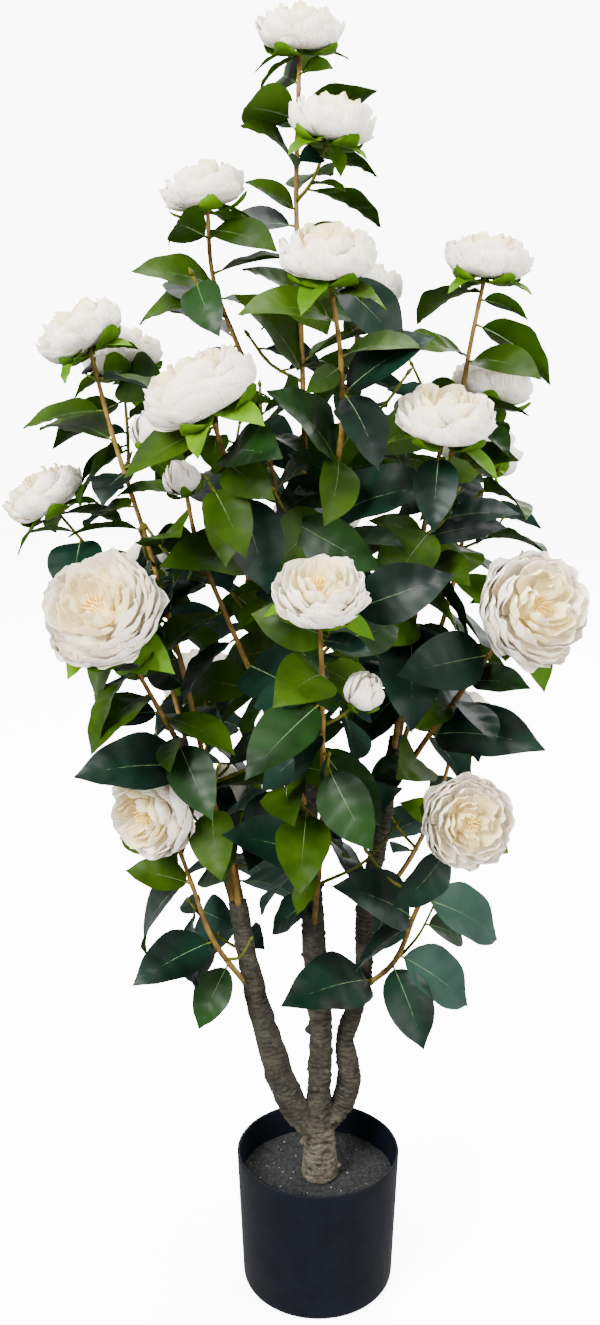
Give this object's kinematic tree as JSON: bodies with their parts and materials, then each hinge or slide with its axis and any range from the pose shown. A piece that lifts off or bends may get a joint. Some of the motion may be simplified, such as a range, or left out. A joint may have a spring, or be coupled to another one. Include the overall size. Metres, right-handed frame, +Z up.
{
  "type": "artificial camellia tree in a plain pot",
  "caption": "Artificial camellia tree in a plain black pot: a short trunk forks into bark-covered limbs with leafy stems and double white blooms.",
  "frame": {"origin": "centre of the pot's flat underside", "axes": "+Z up along the tree's height, -Y towards the front that most of the blooms face, +X to the right seen from the front"},
  "size_m": [0.5102, 0.4674, 1.2037],
  "materials": {
    "pot": "smooth satin black plastic",
    "filling": "dark grey-brown rough cast filling",
    "bark": "moulded grey-brown bark relief",
    "foliage": "coated green leaves with a soft sheen",
    "stems": "wrapped tan and olive stems",
    "petals": "matte white petals with cream hearts"
  },
  "bodies": {
    "root": {"pot": "pot", "filling": "filling", "trunk": "bark", "bough_left": "bark", "bough_right": "bark", "spray_top": "foliage", "spray_upper_left": "foliage", "spray_centre": "foliage", "spray_inner_left": "foliage", "spray_low_left": "foliage", "spray_front": "foliage", "spray_left_tall": "foliage", "spray_left_front": "foliage", "spray_left_low": "foliage", "spray_right_tall": "foliage", "spray_right_inner": "foliage", "spray_right_bloom": "foliage", "spray_right_low": "foliage", "spray_back_top": "foliage", "spray_back_high_left": "foliage", "spray_back_middle": "foliage", "spray_back_left": "foliage", "spray_back_right": "foliage", "spray_back_low_left": "foliage", "spray_back_low_right": "foliage"}
  },
  "joints": []
}
